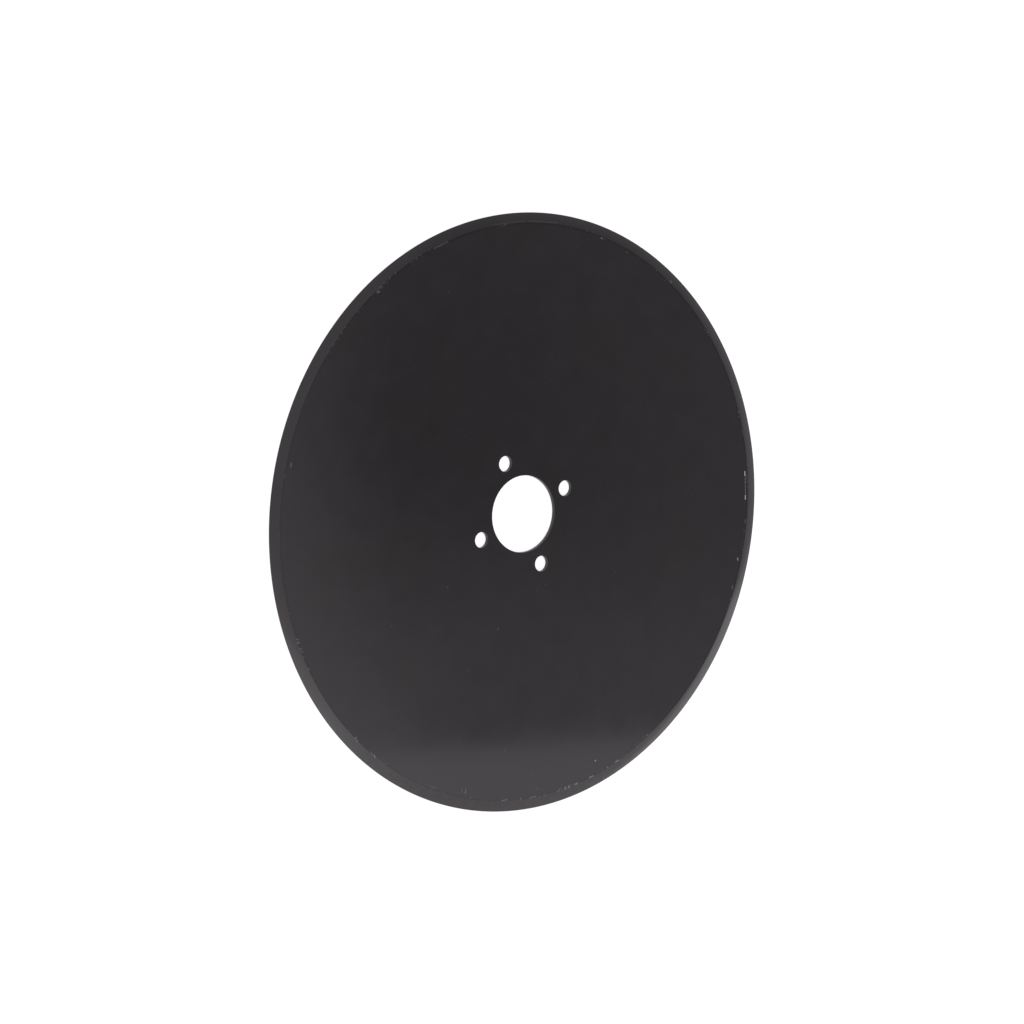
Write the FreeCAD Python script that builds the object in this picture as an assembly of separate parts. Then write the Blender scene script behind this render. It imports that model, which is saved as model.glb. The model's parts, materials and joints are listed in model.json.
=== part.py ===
import FreeCAD, Part
import os
from math import cos, pi, sin, tan

# Flat, single-bevel disc blade for a harrow or seed opener, cut from one plate.
# It lies on its flat back face: the back is on z = 0, the ground bevel faces up, and the
# origin is where the axis of the centre bore meets the back face. Millimetres throughout.

NODE = "disc_blade"

# Plate
DISC_DIAMETER = 400.0
PLATE_THICKNESS = 3.0

# Ground edge: a blunt land round the rim, then one bevel up to the front face
EDGE_LAND = 0.8
BEVEL_WIDTH = 7.0
RIDGE_RADIUS = 3.0
RIM_CORNER_RADIUS = 0.2

# Hub seat: a centre bore that locates the blade, and bolt holes on a pitch circle
BORE_DIAMETER = 51.5
BOLT_COUNT = 4
BOLT_PITCH_DIAMETER = 75.0
BOLT_HOLE_DIAMETER = 10.5
HOLE_CHAMFER = 0.15

AXIS = FreeCAD.Vector(0, 0, 1)
CENTRE = FreeCAD.Vector(0, 0, 0)

# The most of a straight side that one of its rounded corners may take up
LARGEST_CORNER_SHARE = 0.45


def section_point(radius, height):
    """A point of a turned section: its distance from the axis and its height above the back."""
    return FreeCAD.Vector(radius, 0, height)


def corner_arc(before, corner, after, radius):
    """The start, middle and end of the arc that rounds a corner, kept inside both its sides."""
    towards_before = (before - corner).normalize()
    towards_after = (after - corner).normalize()
    half_angle = towards_before.getAngle(towards_after) / 2
    shorter_side = min((before - corner).Length, (after - corner).Length)
    setback = min(radius / tan(half_angle), shorter_side * LARGEST_CORNER_SHARE)
    fitted_radius = setback * tan(half_angle)
    bisector = (towards_before + towards_after).normalize()
    arc_centre = corner + bisector * (fitted_radius / sin(half_angle))
    start = corner + towards_before * setback
    middle = arc_centre - bisector * fitted_radius
    end = corner + towards_after * setback
    return start, middle, end


def ground_plate():
    """The plate turned from its section: flat back, blunt rim, bevel, ridge and flat front."""
    rim = DISC_DIAMETER / 2
    back_centre = section_point(0, 0)
    rim_bottom = section_point(rim, 0)
    rim_top = section_point(rim, EDGE_LAND)
    ridge = section_point(rim - BEVEL_WIDTH, PLATE_THICKNESS)
    front_centre = section_point(0, PLATE_THICKNESS)
    arcs = [
        corner_arc(back_centre, rim_bottom, rim_top, RIM_CORNER_RADIUS),
        corner_arc(rim_bottom, rim_top, ridge, RIM_CORNER_RADIUS),
        corner_arc(rim_top, ridge, front_centre, RIDGE_RADIUS),
    ]
    edges = []
    reached = back_centre
    for start, middle, end in arcs:
        edges.append(Part.LineSegment(reached, start).toShape())
        edges.append(Part.Arc(start, middle, end).toShape())
        reached = end
    edges.append(Part.LineSegment(reached, front_centre).toShape())
    edges.append(Part.LineSegment(front_centre, back_centre).toShape())
    section = Part.Face(Part.Wire(edges))
    return section.revolve(CENTRE, AXIS, 360)


def hole_cutter(diameter, centre):
    """What is cut away for one hole: a cylinder whose end chamfers flare out past both faces."""
    radius = diameter / 2
    past_face = PLATE_THICKNESS / 2
    flare = radius + HOLE_CHAMFER + past_face
    corners = [
        section_point(0, -past_face),
        section_point(flare, -past_face),
        section_point(radius, HOLE_CHAMFER),
        section_point(radius, PLATE_THICKNESS - HOLE_CHAMFER),
        section_point(flare, PLATE_THICKNESS + past_face),
        section_point(0, PLATE_THICKNESS + past_face),
    ]
    outline = Part.makePolygon(corners + corners[:1])
    cutter = Part.Face(outline).revolve(CENTRE, AXIS, 360)
    return cutter.translated(centre)


def bolt_hole_centres():
    """The centres of the bolt holes, evenly spaced on the pitch circle, the first on +X."""
    centres = []
    for index in range(BOLT_COUNT):
        angle = 2 * pi * index / BOLT_COUNT
        reach = BOLT_PITCH_DIAMETER / 2
        centres.append(FreeCAD.Vector(reach * cos(angle), reach * sin(angle), 0))
    return centres


def disc_blade():
    """The finished blade: the ground plate with its centre bore and bolt holes cut through."""
    cutters = [hole_cutter(BORE_DIAMETER, CENTRE)]
    for centre in bolt_hole_centres():
        cutters.append(hole_cutter(BOLT_HOLE_DIAMETER, centre))
    return ground_plate().cut(cutters).Solids[0]


os.makedirs("parts", exist_ok=True)
blade = disc_blade()
blade.exportStep(f"parts/{NODE}.step")
print(NODE, "valid", blade.isValid(), "faces", len(blade.Faces), "volume", round(blade.Volume, 1))
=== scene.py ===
import json
from math import cos, radians, sin

import bpy
from mathutils import Matrix, Vector


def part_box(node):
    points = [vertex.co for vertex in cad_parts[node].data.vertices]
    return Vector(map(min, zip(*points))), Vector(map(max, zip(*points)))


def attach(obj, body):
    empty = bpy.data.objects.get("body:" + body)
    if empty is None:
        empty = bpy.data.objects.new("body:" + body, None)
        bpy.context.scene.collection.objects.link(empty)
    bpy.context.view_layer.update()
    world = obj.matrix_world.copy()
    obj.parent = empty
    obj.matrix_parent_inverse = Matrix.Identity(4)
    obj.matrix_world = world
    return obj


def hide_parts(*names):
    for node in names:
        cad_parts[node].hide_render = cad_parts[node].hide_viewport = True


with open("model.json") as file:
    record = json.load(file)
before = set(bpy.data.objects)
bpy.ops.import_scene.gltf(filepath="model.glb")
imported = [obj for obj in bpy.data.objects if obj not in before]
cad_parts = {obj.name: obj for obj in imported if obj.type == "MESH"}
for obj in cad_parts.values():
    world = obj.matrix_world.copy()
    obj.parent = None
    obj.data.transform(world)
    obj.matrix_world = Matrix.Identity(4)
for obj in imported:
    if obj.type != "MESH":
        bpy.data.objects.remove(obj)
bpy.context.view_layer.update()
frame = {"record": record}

# The dressed harrow disc blade: one round plate, ground on one side round its rim, bored and
# drilled for its hub, and painted black all over. Metres throughout, on the frame's own axes.

MM = 0.001
NODE = "disc_blade"

# Sizes that the frame gives
plate_low, plate_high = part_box(NODE)
mounts = {mount["name"]: mount["dims"] for mount in frame["record"]["mounts"]}
DISC_RADIUS = (plate_high.x - plate_low.x) / 2
PLATE_THICKNESS = plate_high.z - plate_low.z
BORE_RADIUS = mounts["centre_bore"]["r_mm"] * MM
PITCH_RADIUS = mounts["bolt_circle"]["pcd_mm"] / 2 * MM
BOLT_HOLE_RADIUS = mounts["bolt_circle"]["hole_r_mm"] * MM
BOLT_COUNT = mounts["bolt_circle"]["count"]

# Sizes of the ground edge and the broken hole edges
EDGE_LAND = 0.8 * MM
BEVEL_WIDTH = 7.0 * MM
RIDGE_RADIUS = 3.0 * MM
RIM_CORNER_RADIUS = 0.2 * MM
HOLE_EDGE_RADIUS = 0.2 * MM

# The grinder leaves the bevel a little full, and not quite true to the outside edge
BEVEL_CROWN = 0.15 * MM
GRIND_RUN_OUT = Vector((-0.7, -0.5, 0.0)) * MM

# How finely the blade is turned
RIM_SEGMENTS = 720
HOLE_SEGMENTS = 96
RIDGE_STEPS = 10
CORNER_STEPS = 5
RIM_MARGIN = 2.0 * MM
HOLE_MARGIN = 0.6 * MM
BEVEL_STEPS = (0.85, 0.65, 0.45, 0.25, 0.06)
WELD_DISTANCE = 0.01 * MM

# Where the camera stands: turned round the blade, raised, and rolled about its own line of sight
VIEW_AZIMUTH = -35.13
VIEW_ELEVATION = 53.12
VIEW_DISTANCE = 2.912
VIEW_ROLL = 99.54
VIEW_AIM = Vector((-0.00438, -0.00619, 0.0))
LENS = 154.27

# Overhead panels that only the gloss of the paint sees, one laid over the other. Each row says
# what the panel is, how bright, where its centre is, its half width and half length, its turn
# and how soft its edge is. X runs away from the camera and Y to the camera's left.
PANEL_HEIGHT = 0.35
PANEL_REACH = 6.0
PANEL_COLOUR = (1.0, 0.95, 1.0)
CEILING_LEVEL = 0.065
PANELS = [
    ("near fill", 0.30, (0.8, -2.07), (3.0, 2.0), -3, 0.08),
    ("side fill", 0.60, (0.8, 1.45), (3.0, 1.0), 5, 0.40),
    ("far fill", 0.75, (3.8, 0.0), (3.0, 3.0), -20, 0.50),
    ("back fill", 0.60, (-1.51, -0.05), (1.55, 1.4), 12, 0.10),
    ("low back fill", 0.72, (-1.54, -0.65), (1.6, 1.3), 40, 0.09),
    ("key panel", 1.10, (0.8, -2.12), (4.0, 2.0), 9, 0.005),
    ("key centre", 3.0, (-0.15, -0.57), (0.08, 0.16), 0, 0.37),
    ("far key", 1.70, (1.28, -0.45), (0.38, 0.36), 0, 0.02),
]

# The floor, the room's even light and the one softbox
FLOOR_REACH = 20.0
FLOOR_GREY = (0.3, 0.3, 0.3, 1.0)
WHITE = (1.0, 1.0, 1.0, 1.0)
FLOOR_GLOW = 0.8
ROOM_LIGHT = 0.8
SOFTBOX_SIDE = 1.5
SOFTBOX_POWER = 12.0
SOFTBOX_PLACE = Vector((0.6, -1.0, 1.8))


# Node trees ---------------------------------------------------------------------------------

def feed(tree, socket, value):
    """Links a socket to another one, or sets its value."""
    if isinstance(value, bpy.types.NodeSocket):
        tree.links.new(value, socket)
    else:
        socket.default_value = value


def place(tree, kind, inputs=None, **settings):
    """Adds a node with its settings and inputs, and returns it."""
    node = tree.nodes.new(kind)
    for name, value in settings.items():
        setattr(node, name, value)
    for key, value in (inputs or {}).items():
        feed(tree, node.inputs[key], value)
    return node


def calc(tree, operation, *values):
    """Adds a Math node over these values and returns its result."""
    return place(tree, "ShaderNodeMath", dict(enumerate(values)), operation=operation).outputs[0]


def ramp(tree, value, start, end, low=0.0, high=1.0, kind="SMOOTHSTEP"):
    """Value taken from start..end to low..high, with soft ends unless it is linear."""
    inputs = {"Value": value, "From Min": start, "From Max": end, "To Min": low, "To Max": high}
    return place(tree, "ShaderNodeMapRange", inputs, interpolation_type=kind).outputs[0]


def blended(tree, share, first, second):
    """A colour between two others."""
    return place(tree, "ShaderNodeMix", {
        0: share, 6: first, 7: second}, data_type="RGBA").outputs[2]


def shader_group(name, inputs, outputs):
    """An empty shader group with these sockets, and what it is given."""
    tree = bpy.data.node_groups.new(name, "ShaderNodeTree")
    for socket, kind in inputs.items():
        tree.interface.new_socket(socket, in_out="INPUT", socket_type=f"NodeSocket{kind}")
    for socket in outputs:
        tree.interface.new_socket(socket, in_out="OUTPUT", socket_type="NodeSocketFloat")
    return tree, place(tree, "NodeGroupInput").outputs


def object_spot(tree):
    """Where a point is on its own object."""
    return place(tree, "ShaderNodeTexCoord").outputs["Object"]


def noise(tree, scale, detail, roughness=0.5):
    """A cloudy pattern on the object, from 0 to 1."""
    return place(tree, "ShaderNodeTexNoise", {
        "Vector": object_spot(tree), "Scale": scale, "Detail": detail,
        "Roughness": roughness}).outputs[0]


def reach_from_axis(tree, spot):
    """How far a point is from the upright axis."""
    apart = place(tree, "ShaderNodeSeparateXYZ", {0: spot}).outputs
    level_spot = place(tree, "ShaderNodeCombineXYZ", {"X": apart["X"], "Y": apart["Y"]}).outputs[0]
    return place(tree, "ShaderNodeVectorMath", {0: level_spot}, operation="LENGTH").outputs["Value"]


def soft_patch_group():
    """Lays one soft-edged rectangle over what is there already."""
    tree, given = shader_group("soft patch", {
        "Level Below": "Float", "Patch Level": "Float", "Centre": "Vector",
        "Half Size": "Vector", "Turn": "Vector", "Softness": "Float"}, ["Level"])
    local = place(tree, "ShaderNodeMapping", {
        "Vector": object_spot(tree), "Location": given["Centre"], "Rotation": given["Turn"]},
        vector_type="TEXTURE").outputs[0]
    from_centre = place(tree, "ShaderNodeVectorMath", {0: local}, operation="ABSOLUTE").outputs[0]
    past_edge = place(tree, "ShaderNodeVectorMath", {0: from_centre, 1: given["Half Size"]},
                      operation="SUBTRACT").outputs[0]
    past = place(tree, "ShaderNodeSeparateXYZ", {0: past_edge}).outputs
    distance = calc(tree, "MAXIMUM", past["X"], past["Y"])
    inside = calc(tree, "MULTIPLY", given["Softness"], -1.0)
    share = ramp(tree, distance, inside, given["Softness"], low=1.0, high=0.0)
    step = calc(tree, "SUBTRACT", given["Patch Level"], given["Level Below"])
    level = calc(tree, "MULTIPLY_ADD", step, share, given["Level Below"])
    place(tree, "NodeGroupOutput", {0: level})
    return tree


def soft_patch(tree, group, below, level, centre, half_size, turn, softness):
    """Places one soft patch, its centre and half size given as X and Y, its turn in degrees."""
    return place(tree, "ShaderNodeGroup", {
        "Level Below": below, "Patch Level": level, "Centre": (*centre, 0.0),
        "Half Size": (*half_size, 1.0), "Turn": (0.0, 0.0, radians(turn)),
        "Softness": softness}, node_tree=group).outputs[0]


# The blade's shape --------------------------------------------------------------------------

BLADE_SIZES = {
    "Disc Radius": DISC_RADIUS,
    "Plate Thickness": PLATE_THICKNESS,
    "Edge Land": EDGE_LAND,
    "Bevel Width": BEVEL_WIDTH,
    "Bevel Crown": BEVEL_CROWN,
    "Ridge Radius": RIDGE_RADIUS,
    "Rim Corner Radius": RIM_CORNER_RADIUS,
    "Bore Radius": BORE_RADIUS,
    "Bolt Hole Radius": BOLT_HOLE_RADIUS,
    "Pitch Radius": PITCH_RADIUS,
    "Hole Edge Radius": HOLE_EDGE_RADIUS,
}
BLADE_COUNTS = {"Bolt Count": BOLT_COUNT}


def section_point(tree, reach, height):
    """A point of a turned section. Curve to Mesh lays a profile's Y downwards, hence the minus."""
    down = calc(tree, "MULTIPLY", height, -1.0)
    return place(tree, "ShaderNodeCombineXYZ", {"X": reach, "Y": down}).outputs[0]


def by_index(tree, kind, values):
    """A field that gives each point of a section its own value, in order."""
    switch = place(tree, "GeometryNodeIndexSwitch", data_type=kind)
    while len(switch.index_switch_items) < len(values):
        switch.index_switch_items.new()
    index = place(tree, "GeometryNodeInputIndex").outputs[0]
    feed(tree, switch.inputs[0], index)
    for number, value in enumerate(values):
        feed(tree, switch.inputs[number + 1], value)
    return switch.outputs[0]


def section_curve(tree, corners, radii, steps):
    """An open section through the corners, each rounded to its own radius."""
    points = place(tree, "GeometryNodePoints", {
        "Count": len(corners), "Position": by_index(tree, "VECTOR", corners)})
    order = place(tree, "GeometryNodeInputIndex").outputs[0]
    line = place(tree, "GeometryNodePointsToCurves", {
        "Points": points.outputs[0], "Weight": order})
    rounded = place(tree, "GeometryNodeFilletCurve", {
        "Curve": line.outputs[0],
        "Count": by_index(tree, "INT", steps),
        "Radius": by_index(tree, "FLOAT", radii),
        "Limit Radius": True}, mode="POLY")
    return rounded.outputs[0]


def circle(tree, radius, segments):
    """A circle about the blade's axis."""
    return place(tree, "GeometryNodeCurvePrimitiveCircle", {
        "Resolution": segments, "Radius": radius}).outputs["Curve"]


def turned(tree, path, section):
    """The surface that a section sweeps along a circle."""
    return place(tree, "GeometryNodeCurveToMesh", {
        "Curve": path, "Profile Curve": section}).outputs["Mesh"]


def rim_band(tree, size):
    """The rim, turned from the flat front over ridge, bevel and land to the flat back."""
    inward = calc(tree, "MULTIPLY", size["Bevel Width"], -1.0)
    rise = calc(tree, "SUBTRACT", size["Plate Thickness"], size["Edge Land"])

    def on_bevel(share):
        """The point this share of the way up the bevel, which bulges by the crown half way."""
        reach = calc(tree, "MULTIPLY", inward, share)
        straight = calc(tree, "MULTIPLY_ADD", rise, share, size["Edge Land"])
        bulge = 4 * share * (1 - share)
        height = calc(tree, "MULTIPLY_ADD", size["Bevel Crown"], bulge, straight)
        return section_point(tree, reach, height)

    flat_start = calc(tree, "SUBTRACT", inward, RIM_MARGIN)
    corners = [
        section_point(tree, flat_start, size["Plate Thickness"]),
        on_bevel(1.0),
        *[on_bevel(share) for share in BEVEL_STEPS],
        on_bevel(0.0),
        section_point(tree, 0.0, 0.0),
        section_point(tree, -RIM_MARGIN, 0.0),
    ]
    corner = size["Rim Corner Radius"]
    radii = [0.0, size["Ridge Radius"], *[0.0] * len(BEVEL_STEPS), corner, corner, 0.0]
    steps = [1, RIDGE_STEPS, *[1] * len(BEVEL_STEPS), CORNER_STEPS, CORNER_STEPS, 1]
    path = circle(tree, size["Disc Radius"], RIM_SEGMENTS)
    return turned(tree, path, section_curve(tree, corners, radii, steps))


def hole_band(tree, size, radius):
    """The wall of one hole, turned from the back face up to the front, its edges eased."""
    edge = size["Hole Edge Radius"]
    corners = [
        section_point(tree, HOLE_MARGIN, 0.0),
        section_point(tree, 0.0, 0.0),
        section_point(tree, 0.0, size["Plate Thickness"]),
        section_point(tree, HOLE_MARGIN, size["Plate Thickness"]),
    ]
    radii = [0.0, edge, edge, 0.0]
    steps = [1, CORNER_STEPS, CORNER_STEPS, 1]
    path = circle(tree, radius, HOLE_SEGMENTS)
    return turned(tree, path, section_curve(tree, corners, radii, steps))


def at_bolts(tree, size, geometry):
    """A copy of the geometry at each bolt hole, the first one on +X."""
    pitch_circle = place(tree, "GeometryNodeMeshCircle", {
        "Vertices": size["Bolt Count"], "Radius": size["Pitch Radius"]})
    copies = place(tree, "GeometryNodeInstanceOnPoints", {
        "Points": pitch_circle.outputs[0], "Instance": geometry})
    return place(tree, "GeometryNodeRealizeInstances", {0: copies.outputs[0]}).outputs[0]


def join(tree, *parts):
    """Several geometries as one."""
    joined = place(tree, "GeometryNodeJoinGeometry")
    for part in parts:
        tree.links.new(part, joined.inputs[0])
    return joined.outputs[0]


def flat_face(tree, size, outer_radius, height):
    """A flat face of the plate, with the bore and the bolt holes left open."""
    bore = circle(tree, calc(tree, "ADD", size["Bore Radius"], HOLE_MARGIN), HOLE_SEGMENTS)
    hole = circle(tree, calc(tree, "ADD", size["Bolt Hole Radius"], HOLE_MARGIN), HOLE_SEGMENTS)
    outline = join(tree, circle(tree, outer_radius, RIM_SEGMENTS), bore, at_bolts(tree, size, hole))
    filled = place(tree, "GeometryNodeFillCurve", {"Curve": outline}, mode="TRIANGLES")
    place_at = place(tree, "ShaderNodeCombineXYZ", {"Z": height}).outputs[0]
    return place(tree, "GeometryNodeTransform", {
        "Geometry": filled.outputs[0], "Translation": place_at}).outputs[0]


def off_true(tree, size, geometry):
    """Shifts the ridge by the grinder's run-out, the bevel by less towards the outside edge."""
    spot = place(tree, "GeometryNodeInputPosition").outputs[0]
    height = place(tree, "ShaderNodeSeparateXYZ", {0: spot}).outputs["Z"]
    half_way = calc(tree, "MULTIPLY", size["Disc Radius"], 0.5)
    past_hub = calc(tree, "GREATER_THAN", reach_from_axis(tree, spot), half_way)
    share = ramp(tree, height, size["Edge Land"], size["Plate Thickness"], kind="LINEAR")
    shift = place(tree, "ShaderNodeVectorMath", {
        0: size["Grind Run-out"], "Scale": share}, operation="SCALE").outputs[0]
    return place(tree, "GeometryNodeSetPosition", {
        "Geometry": geometry, "Selection": past_hub, "Offset": shift}).outputs[0]


def blade_tree():
    """The tree that turns the whole blade from its named sizes."""
    tree = bpy.data.node_groups.new("turned blade", "GeometryNodeTree")
    for name in BLADE_SIZES:
        tree.interface.new_socket(name, in_out="INPUT", socket_type="NodeSocketFloat")
    for name in BLADE_COUNTS:
        tree.interface.new_socket(name, in_out="INPUT", socket_type="NodeSocketInt")
    tree.interface.new_socket("Grind Run-out", in_out="INPUT", socket_type="NodeSocketVector")
    tree.interface.new_socket("Paint", in_out="INPUT", socket_type="NodeSocketMaterial")
    tree.interface.new_socket("Blade", in_out="OUTPUT", socket_type="NodeSocketGeometry")
    size = place(tree, "NodeGroupInput").outputs

    thickness = size["Plate Thickness"]
    flat_radius = calc(tree, "SUBTRACT", size["Disc Radius"], size["Bevel Width"])
    front = flat_face(tree, size, calc(tree, "SUBTRACT", flat_radius, RIM_MARGIN), thickness)
    back_radius = calc(tree, "SUBTRACT", size["Disc Radius"], RIM_MARGIN)
    back = place(tree, "GeometryNodeFlipFaces", {0: flat_face(tree, size, back_radius, 0.0)})
    shell = join(
        tree, front, back.outputs[0], rim_band(tree, size),
        hole_band(tree, size, size["Bore Radius"]),
        at_bolts(tree, size, hole_band(tree, size, size["Bolt Hole Radius"])))

    whole = place(tree, "GeometryNodeRealizeInstances", {0: shell}).outputs[0]
    welded = place(tree, "GeometryNodeMergeByDistance", {
        "Geometry": whole, "Distance": WELD_DISTANCE}).outputs[0]
    ground = off_true(tree, size, welded)
    smooth = place(tree, "GeometryNodeSetShadeSmooth", {"Geometry": ground}).outputs[0]
    painted = place(tree, "GeometryNodeSetMaterial", {
        "Geometry": smooth, "Material": size["Paint"]}).outputs[0]
    place(tree, "NodeGroupOutput", {0: painted})
    return tree


def disc_blade(paint):
    """The blade as a plain mesh object at the origin."""
    tree = blade_tree()
    blade = bpy.data.objects.new("blade", bpy.data.meshes.new("blade"))
    bpy.context.scene.collection.objects.link(blade)
    modifier = blade.modifiers.new("turned blade", "NODES")
    modifier.node_group = tree
    values = {**BLADE_SIZES, **BLADE_COUNTS, "Grind Run-out": GRIND_RUN_OUT, "Paint": paint}
    for socket in tree.interface.items_tree:
        if socket.in_out == "INPUT":
            modifier[socket.identifier] = values[socket.name]
    evaluated = blade.evaluated_get(bpy.context.evaluated_depsgraph_get())
    blade.data = bpy.data.meshes.new_from_object(evaluated)
    blade.modifiers.clear()
    return blade


# The paint ----------------------------------------------------------------------------------

BLACK = (0.0211, 0.0181, 0.0201, 1.0)
VIOLET_BLACK = (0.0203, 0.0179, 0.0212, 1.0)
RUST_BLOOM = (0.031, 0.0235, 0.021, 1.0)
# Painted shade: the darker colour of the walls inside the bore and the bolt holes
HOLE_WALL_PAINTED_SHADE = (0.011, 0.0105, 0.011, 1.0)
SCRAPED = (0.78, 0.77, 0.76, 1.0)

# Knocks and scrapes from handling, round the rim and on the face. Each row says how far from the
# axis it is and at what angle, how long and wide, how far it is turned from the run of the rim,
# and how deep it goes into the paint. Millimetres and degrees.
SCRAPES = [
    (190, 69, 17, 0.3, 0, 0.35),
    (190, 66, 3, 0.6, 0, 0.95),
    (190, 71, 3, 0.6, 0, 0.95),
    (191, 61, 3, 0.4, 0, 0.20),
    (191, 59, 2, 0.4, 40, 0.12),
    (189, 53, 2, 0.8, 20, 0.45),
    (190, 47, 2, 0.7, 0, 0.25),
    (192, 1, 3, 0.8, 0, 0.22),
    (192, -6, 4, 0.8, 0, 0.25),
    (192, -10, 3, 0.8, 0, 0.30),
    (183, -4, 1, 0.9, 0, 0.45),
    (192, -21, 6, 0.6, 5, 0.16),
    (192, -24, 2, 0.9, 60, 0.12),
    (192, -28, 5, 0.7, 8, 0.15),
    (188, -38, 3, 0.5, 95, 0.20),
    (188, -39, 3, 0.4, 90, 0.12),
    (187, -20, 2, 0.8, 0, 0.06),
    (176, -21, 1, 0.7, 30, 0.05),
    (191, -46, 6, 0.6, 5, 0.07),
    (158, -29, 2, 0.6, 90, 0.06),
    (78, -39, 1, 1.0, 0, 0.08),
    (76, -78, 1, 0.8, 0, 0.07),
    (190, -127, 3, 0.6, 0, 0.16),
    (192, -166, 2, 0.8, 0, 0.20),
    (193, 177, 12, 0.8, 0, 0.10),
    (194, 160, 24, 0.5, 0, 0.04),
    (194, 152, 24, 0.5, 0, 0.05),
    (192, 137, 1, 0.9, 0, 0.35),
    (191, 130, 1, 0.8, 0, 0.15),
    (194, 117, 2, 0.8, 0, 0.15),
]

# How coarse each pattern in the paint is, in patterns to the metre
CLOUD_SCALE = 14.0
SMEAR_SCALE = 55.0
PEEL_SCALE = 420.0
GRAIN_SCALE = 2600.0
GRINDING_SCALE = 1500.0

# Flecks: how coarse they are, how coarse the patches that they gather in, and how rare they are
CHIPS = {"Fleck Scale": 620.0, "Patch Scale": 60.0, "Rareness": 0.62}
DUST = {"Fleck Scale": 480.0, "Patch Scale": 30.0, "Rareness": 0.80}
RUST = {"Fleck Scale": 240.0, "Patch Scale": 22.0, "Rareness": 0.50}
FLECK_EDGE = 0.08
PATCHINESS = 0.6
DUST_DEPTH = 0.02
SCRAPE_SOFTNESS = 0.25 * MM

# The band along the ridge, worn and with painted shade, and the side of the blade where chips,
# bevel streaks and rust are stronger
WORN_SHADED_BAND_INSET = 0.5 * MM
WORN_SHADED_BAND_CORE = 0.2 * MM
WORN_SHADED_BAND_REACH = 1.5 * MM
MORE_MARKED_SIDE = (0.82, -0.57, 0.0)
MORE_MARKED_FROM = 0.02
MORE_MARKED_FULLY = 0.19

# Where the bevel's finish fades in past the ridge, and where the holes of the hub end
BEVEL_FINISH_FROM = -0.2 * MM
BEVEL_FINISH_FULLY = 0.4 * MM
HUB_REACH = PITCH_RADIUS * 1.5
HUB_FADE = 1.0 * MM

# Height of the ripple in the paint
RIPPLE_HEIGHT = 0.0012 * MM


def ring_distance_group():
    """How far a point stands outside a circle about its own centre."""
    tree, given = shader_group(
        "ring distance", {"Centre": "Vector", "Radius": "Float"}, ["Past"])
    local = place(tree, "ShaderNodeVectorMath", {0: object_spot(tree), 1: given["Centre"]},
                  operation="SUBTRACT").outputs[0]
    place(tree, "NodeGroupOutput", {
        0: calc(tree, "SUBTRACT", reach_from_axis(tree, local), given["Radius"])})
    return tree


def flecks_group():
    """Small irregular flecks, gathered in patches."""
    tree, given = shader_group("flecks", {
        "Fleck Scale": "Float", "Patch Scale": "Float", "Rareness": "Float"}, ["Flecks"])
    fine = noise(tree, given["Fleck Scale"], 2.0)
    broad = noise(tree, given["Patch Scale"], 1.0)
    gathering = calc(tree, "MULTIPLY", calc(tree, "SUBTRACT", broad, 0.5), PATCHINESS)
    height = calc(tree, "ADD", fine, gathering)
    top = calc(tree, "ADD", given["Rareness"], FLECK_EDGE)
    place(tree, "NodeGroupOutput", {0: ramp(tree, height, given["Rareness"], top)})
    return tree


def scrapes(tree, patch_group):
    """The mask of every scrape in the list."""
    mask = 0.0
    for reach, angle, length, width, turn, depth in SCRAPES:
        centre = (reach * MM * cos(radians(angle)), reach * MM * sin(radians(angle)))
        half_size = (length / 2 * MM, width / 2 * MM)
        along_rim = angle + 90 + turn
        mask = soft_patch(
            tree, patch_group, mask, depth, centre, half_size, along_rim, SCRAPE_SOFTNESS)
    return mask


def hole_walls(tree, past_hub):
    """The mask of the upright walls inside the bore and the bolt holes, which get painted shade and
    more roughness.
    """
    normal = place(tree, "ShaderNodeNewGeometry").outputs["Normal"]
    upright = place(tree, "ShaderNodeSeparateXYZ", {0: normal}).outputs["Z"]
    wall = ramp(tree, calc(tree, "ABSOLUTE", upright), 0.3, 0.6, low=1.0, high=0.0)
    return calc(tree, "MULTIPLY", wall, ramp(tree, past_hub, 0.0, HUB_FADE, low=1.0, high=0.0))


def grinding_lines(tree, past_ridge, on_bevel):
    """Fine rings on the bevel, where the grinding shows through the paint."""
    across = calc(tree, "MULTIPLY", past_ridge, GRINDING_SCALE)
    rings = place(tree, "ShaderNodeTexNoise", {"W": across, "Scale": 1.0, "Detail": 2.0},
                  noise_dimensions="1D").outputs[0]
    return calc(tree, "MULTIPLY", calc(tree, "SUBTRACT", rings, 0.5), on_bevel)


def more_marked_side(tree):
    """The mask of the side where the chips, the bevel's streaks and the rust are stronger."""
    toward = place(tree, "ShaderNodeVectorMath", {0: object_spot(tree), 1: MORE_MARKED_SIDE},
                   operation="DOT_PRODUCT").outputs["Value"]
    return ramp(tree, toward, MORE_MARKED_FROM, MORE_MARKED_FULLY)


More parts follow.
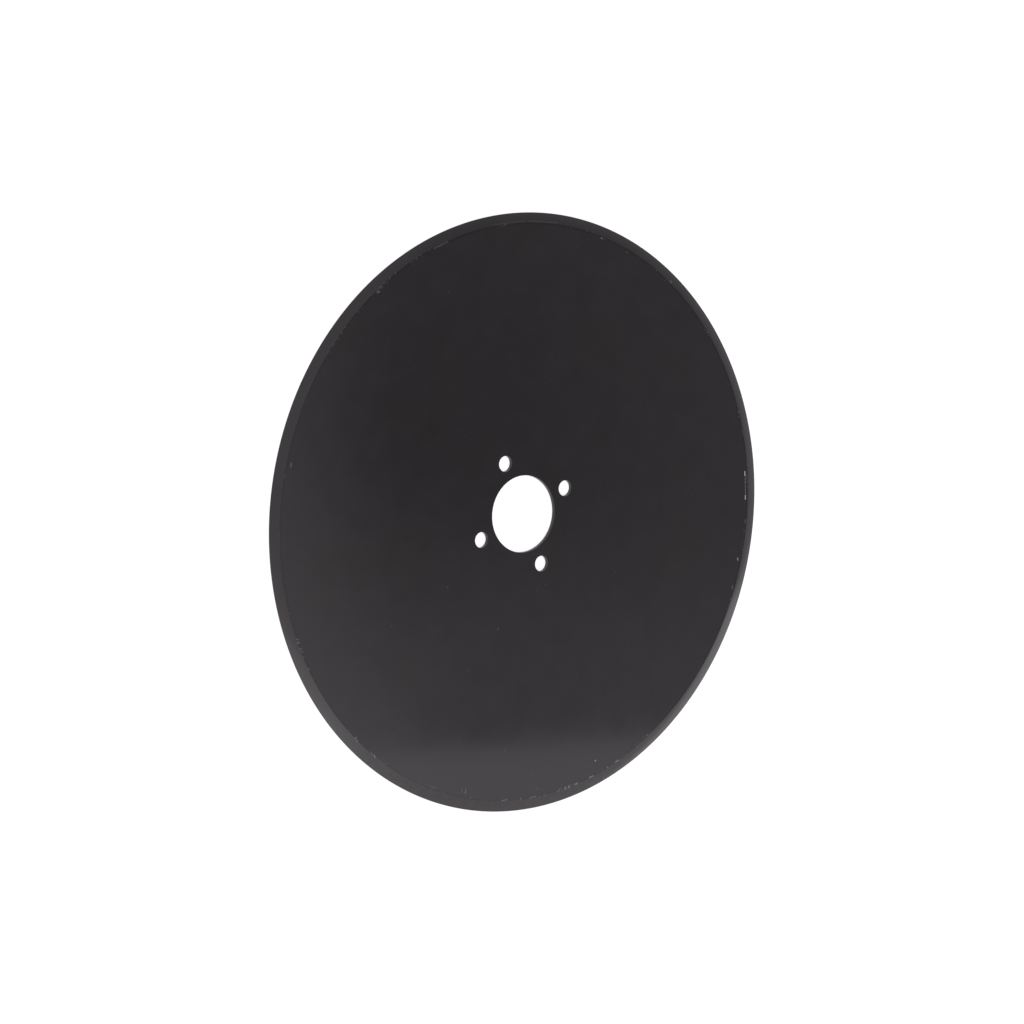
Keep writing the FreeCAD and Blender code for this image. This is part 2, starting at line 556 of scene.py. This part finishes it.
def black_paint(patch_group):
    """Thin black paint over ground steel, cloudy and finely rippled, scuffed along the ridge, with
    painted shade along the ridge and on the hole walls.
    """
    material = bpy.data.materials.new("black paint")
    material.use_nodes = True
    tree = material.node_tree
    shader = tree.nodes["Principled BSDF"]
    ring = ring_distance_group()
    flecks = flecks_group()

    def past_circle(centre, radius):
        """How far a point stands outside this circle."""
        return place(tree, "ShaderNodeGroup", {
            "Centre": centre, "Radius": radius}, node_tree=ring).outputs[0]

    def flecked(kind):
        """The mask of one kind of fleck."""
        return place(tree, "ShaderNodeGroup", kind, node_tree=flecks).outputs[0]

    # Where on the blade a point is
    past_ridge = past_circle(GRIND_RUN_OUT, DISC_RADIUS - BEVEL_WIDTH)
    past_hub = past_circle((0.0, 0.0, 0.0), HUB_REACH)
    on_bevel = ramp(tree, past_ridge, BEVEL_FINISH_FROM, BEVEL_FINISH_FULLY)
    from_band = calc(tree, "ABSOLUTE", calc(tree, "ADD", past_ridge, WORN_SHADED_BAND_INSET))
    near_ridge = ramp(tree, from_band, WORN_SHADED_BAND_CORE, WORN_SHADED_BAND_REACH, low=1.0, high=0.0)
    more_marked = more_marked_side(tree)
    shaded_rough_walls = hole_walls(tree, past_hub)

    # What the paint does there
    cloud = noise(tree, CLOUD_SCALE, 3.0)
    smear = noise(tree, SMEAR_SCALE, 4.0, roughness=0.6)
    peel = noise(tree, PEEL_SCALE, 2.0)
    grain = noise(tree, GRAIN_SCALE, 1.0)
    grinding = grinding_lines(tree, past_ridge, on_bevel)
    chip_depth = ramp(tree, more_marked, 0.0, 1.0, low=0.04, high=0.16)
    chips = calc(tree, "MULTIPLY", calc(tree, "MULTIPLY", flecked(CHIPS), near_ridge), chip_depth)
    dust = calc(tree, "MULTIPLY", flecked(DUST), DUST_DEPTH)
    broken = ramp(tree, grain, 0.40, 0.60, low=0.25, high=1.0)
    scraped = calc(tree, "MULTIPLY", scrapes(tree, patch_group), broken)
    bare = calc(tree, "MAXIMUM", calc(tree, "MAXIMUM", chips, dust), scraped)
    rust = calc(tree, "MULTIPLY", calc(tree, "MULTIPLY", flecked(RUST), on_bevel), more_marked)

    # Colour: cloudy black, darkened along the ridge as painted shade, streaked on the bevel,
    # scraped pale
    colour = blended(tree, ramp(tree, cloud, 0.35, 0.65), BLACK, VIOLET_BLACK)
    shade = ramp(tree, smear, 0.3, 0.75, low=0.93, high=1.09, kind="LINEAR")
    # Painted shade: a blotchy dark line along the ridge, taken off the colour
    ridge_painted_shade = calc(tree, "MULTIPLY", calc(tree, "MULTIPLY", near_ridge, smear), -0.5)
    streaks = ramp(tree, more_marked, 0.0, 1.0, low=0.35, high=1.2)
    shade = calc(tree, "MULTIPLY_ADD", grinding, streaks, calc(tree, "ADD", shade, ridge_painted_shade))
    colour = place(tree, "ShaderNodeVectorMath", {0: colour, "Scale": shade},
                   operation="SCALE").outputs[0]
    colour = blended(tree, calc(tree, "MULTIPLY", rust, 0.5), colour, RUST_BLOOM)
    # Painted shade: the walls of the bore and the bolt holes darkened in the colour
    colour = blended(tree, shaded_rough_walls, colour, HOLE_WALL_PAINTED_SHADE)
    feed(tree, shader.inputs["Base Color"], blended(tree, bare, colour, SCRAPED))

    # Gloss: high on the paint, lower on cut walls, bare spots and rust
    roughness = ramp(tree, smear, 0.3, 0.7, low=0.105, high=0.14, kind="LINEAR")
    for mask, added in ((shaded_rough_walls, 0.25), (bare, 0.5), (rust, 0.06)):
        roughness = calc(tree, "MULTIPLY_ADD", mask, added, roughness)
    feed(tree, shader.inputs["Roughness"], roughness)

    # Ripple: the paint's own, the grinding under it and the chips in it
    height = peel
    for pattern, share in ((grain, 0.08), (grinding, 1.2), (chips, -20.0)):
        height = calc(tree, "MULTIPLY_ADD", pattern, share, height)
    ripple = place(tree, "ShaderNodeBump", {"Height": height, "Distance": RIPPLE_HEIGHT})
    feed(tree, shader.inputs["Normal"], ripple.outputs[0])
    return material


# The studio ---------------------------------------------------------------------------------

def panel_light(patch_group):
    """The light of all the overhead panels together, laid one over the other."""
    material = bpy.data.materials.new("panel light")
    material.use_nodes = True
    tree = material.node_tree
    tree.nodes.clear()
    level = CEILING_LEVEL
    for _, brightness, centre, half_size, turn, softness in PANELS:
        level = soft_patch(
            tree, patch_group, level, brightness, centre, half_size, turn, softness)
    glow = place(tree, "ShaderNodeEmission", {"Strength": level, "Color": (*PANEL_COLOUR, 1.0)})
    place(tree, "ShaderNodeOutputMaterial", {"Surface": glow.outputs[0]})
    return material


def square(name, half_side, material):
    """A flat square about its own origin."""
    corners = [(-1, -1), (1, -1), (1, 1), (-1, 1)]
    mesh = bpy.data.meshes.new(name)
    mesh.from_pydata([(x * half_side, y * half_side, 0) for x, y in corners], [], [(0, 1, 2, 3)])
    mesh.materials.append(material)
    thing = bpy.data.objects.new(name, mesh)
    bpy.context.scene.collection.objects.link(thing)
    return thing


def overhead_panels(patch_group):
    """The panels above the blade, turned to the camera and seen by the gloss alone."""
    panels = square("overhead panels", PANEL_REACH, panel_light(patch_group))
    panels.location.z = plate_high.z + PANEL_HEIGHT
    panels.rotation_euler.z = radians(90 + VIEW_AZIMUTH)
    panels.visible_camera = False
    panels.visible_diffuse = False
    panels.visible_transmission = False
    panels.visible_volume_scatter = False
    panels.visible_shadow = False


def seen_directly(tree):
    """1 for what the camera, gloss or glass sees, 0 for what lights a surface."""
    ray = place(tree, "ShaderNodeLightPath").outputs
    gloss = calc(tree, "MAXIMUM", ray["Is Camera Ray"], ray["Is Glossy Ray"])
    return calc(tree, "MAXIMUM", gloss, ray["Is Transmission Ray"])


def floor():
    """A white floor under the blade, which keeps the blade's shadow."""
    material = bpy.data.materials.new("white floor")
    material.use_nodes = True
    tree = material.node_tree
    shader = tree.nodes["Principled BSDF"]
    shader.inputs["Base Color"].default_value = FLOOR_GREY
    shader.inputs["Roughness"].default_value = 1.0
    shader.inputs["Specular IOR Level"].default_value = 0.0
    shader.inputs["Emission Color"].default_value = WHITE
    glow = calc(tree, "MULTIPLY", seen_directly(tree), FLOOR_GLOW)
    feed(tree, shader.inputs["Emission Strength"], glow)
    ground = square("floor", FLOOR_REACH, material)
    ground.location.z = plate_low.z


def sky():
    """A plain white room: white to look at, and an even soft light on the blade."""
    world = bpy.data.worlds.new("white room")
    bpy.context.scene.world = world
    world.use_nodes = True
    tree = world.node_tree
    level = ramp(tree, seen_directly(tree), 0.0, 1.0, low=ROOM_LIGHT, kind="LINEAR")
    feed(tree, tree.nodes["Background"].inputs["Strength"], level)
    tree.nodes["Background"].inputs["Color"].default_value = WHITE


def lamp():
    """One broad softbox, high on the near side."""
    light = bpy.data.lights.new("softbox", "AREA")
    light.size = SOFTBOX_SIDE
    light.energy = SOFTBOX_POWER
    box = bpy.data.objects.new("softbox", light)
    bpy.context.scene.collection.objects.link(box)
    box.location = SOFTBOX_PLACE
    box.rotation_euler = (-SOFTBOX_PLACE).to_track_quat("-Z", "Y").to_euler()
    box.visible_glossy = False
    box.visible_camera = False


def camera():
    """A long lens on the blade from its front, held turned on its side."""
    lens = bpy.data.cameras.new("camera")
    lens.lens = LENS
    holder = bpy.data.objects.new("camera", lens)
    bpy.context.scene.collection.objects.link(holder)
    azimuth = radians(VIEW_AZIMUTH)
    elevation = radians(VIEW_ELEVATION)
    back = Vector((sin(azimuth) * cos(elevation), -cos(azimuth) * cos(elevation), sin(elevation)))
    upright = back.to_track_quat("Z", "Y").to_matrix()
    rolled = upright @ Matrix.Rotation(radians(VIEW_ROLL), 3, "Z")
    holder.matrix_world = Matrix.Translation(VIEW_AIM + back * VIEW_DISTANCE) @ rolled.to_4x4()
    bpy.context.scene.camera = holder


bpy.context.scene.view_settings.view_transform = "Standard"
camera()
floor()
sky()
lamp()
patch_group = soft_patch_group()
overhead_panels(patch_group)

blade = disc_blade(black_paint(patch_group))
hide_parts(NODE)
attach(blade, "root")
